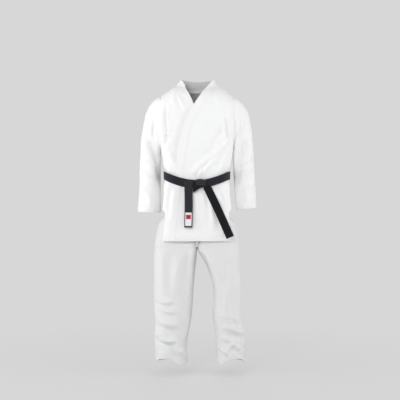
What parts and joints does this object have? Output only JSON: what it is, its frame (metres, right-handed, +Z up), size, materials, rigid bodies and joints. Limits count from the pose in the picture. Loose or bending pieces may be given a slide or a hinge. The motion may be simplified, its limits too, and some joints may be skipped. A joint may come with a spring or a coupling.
{
  "type": "martial arts uniform",
  "caption": "Crossed cotton training jacket with tied cloth belt and loose trousers, in its worn shape, with sleeves, legs and belt ends that swing.",
  "frame": {"origin": "centre of the neck opening, 8 mm below the top of the shoulder line, where the wearer's shoulders carry the jacket", "axes": "+Z up along the length of the uniform, +X towards the wearer's left, -Y to the front, so +Y is the depth"},
  "size_m": [0.614, 0.2709, 1.4717],
  "materials": {
    "jacket_canvas": "bleached cotton canvas, plain weave",
    "trouser_cotton": "bleached light cotton, plain weave",
    "elastic": "woven elastic",
    "belt_black": "black cotton belt with lengthwise stitch rows",
    "belt_label": "woven satin label, plain with a red bar"
  },
  "bodies": {
    "uniform": {"jacket_back": "jacket_canvas", "jacket_front_left": "jacket_canvas", "jacket_front_right": "jacket_canvas", "lapel_left": "jacket_canvas", "lapel_right": "jacket_canvas", "collar_band": "jacket_canvas", "shoulder_lining_left": "jacket_canvas", "shoulder_lining_right": "jacket_canvas", "hem_facing_back": "jacket_canvas", "hem_facing_left": "jacket_canvas", "hem_facing_right": "jacket_canvas", "vent_patch_left": "jacket_canvas", "vent_patch_right": "jacket_canvas", "sleeve_head_left": "jacket_canvas", "sleeve_head_right": "jacket_canvas", "tie_outer_front": "jacket_canvas", "tie_outer_side": "jacket_canvas", "tie_inner_front": "jacket_canvas", "tie_inner_side": "jacket_canvas", "trouser_front": "trouser_cotton", "trouser_back": "trouser_cotton", "waistband": "trouser_cotton", "waist_elastic": "elastic", "waistband_lining": "trouser_cotton", "crotch_gusset": "trouser_cotton", "hip_panel_left": "trouser_cotton", "hip_panel_right": "trouser_cotton", "belt_wrap_inner": "belt_black", "belt_wrap_outer": "belt_black", "belt_knot_core": "belt_black", "belt_knot_loop": "belt_black"},
    "left_sleeve": {"sleeve_left": "jacket_canvas", "cuff_facing_left": "jacket_canvas"},
    "right_sleeve": {"sleeve_right": "jacket_canvas", "cuff_facing_right": "jacket_canvas"},
    "left_leg": {"leg_left": "trouser_cotton", "trouser_hem_left": "trouser_cotton"},
    "right_leg": {"leg_right": "trouser_cotton", "trouser_hem_right": "trouser_cotton"},
    "left_tail": {"belt_tail_left": "belt_black"},
    "right_tail": {"belt_tail_right": "belt_black", "belt_label": "belt_label"}
  },
  "joints": [
    {"name": "left_shoulder", "type": "hinge", "parent": "uniform", "child": "left_sleeve", "pos_m": [0.23, 0, -0.2], "axis": [0, -1, 0], "range_deg": [0, 80], "deforming": ["sleeve_head_left"]},
    {"name": "right_shoulder", "type": "hinge", "parent": "uniform", "child": "right_sleeve", "pos_m": [-0.23, 0, -0.2], "axis": [0, 1, 0], "range_deg": [0, 80], "deforming": ["sleeve_head_right"]},
    {"name": "left_hip", "type": "hinge", "parent": "uniform", "child": "left_leg", "pos_m": [0.012, 0, -0.816], "axis": [0, -1, 0], "range_deg": [0, 24], "deforming": ["hip_panel_left"]},
    {"name": "right_hip", "type": "hinge", "parent": "uniform", "child": "right_leg", "pos_m": [-0.012, 0, -0.816], "axis": [0, 1, 0], "range_deg": [0, 24], "deforming": ["hip_panel_right"]},
    {"name": "left_tail_swing", "type": "hinge", "parent": "uniform", "child": "left_tail", "pos_m": [0.06, -0.1254, -0.511], "axis": [-1, 0, 0], "range_deg": [0, 60]},
    {"name": "right_tail_swing", "type": "hinge", "parent": "uniform", "child": "right_tail", "pos_m": [-0.044, -0.1254, -0.488], "axis": [-1, 0, 0], "range_deg": [0, 60]}
  ]
}
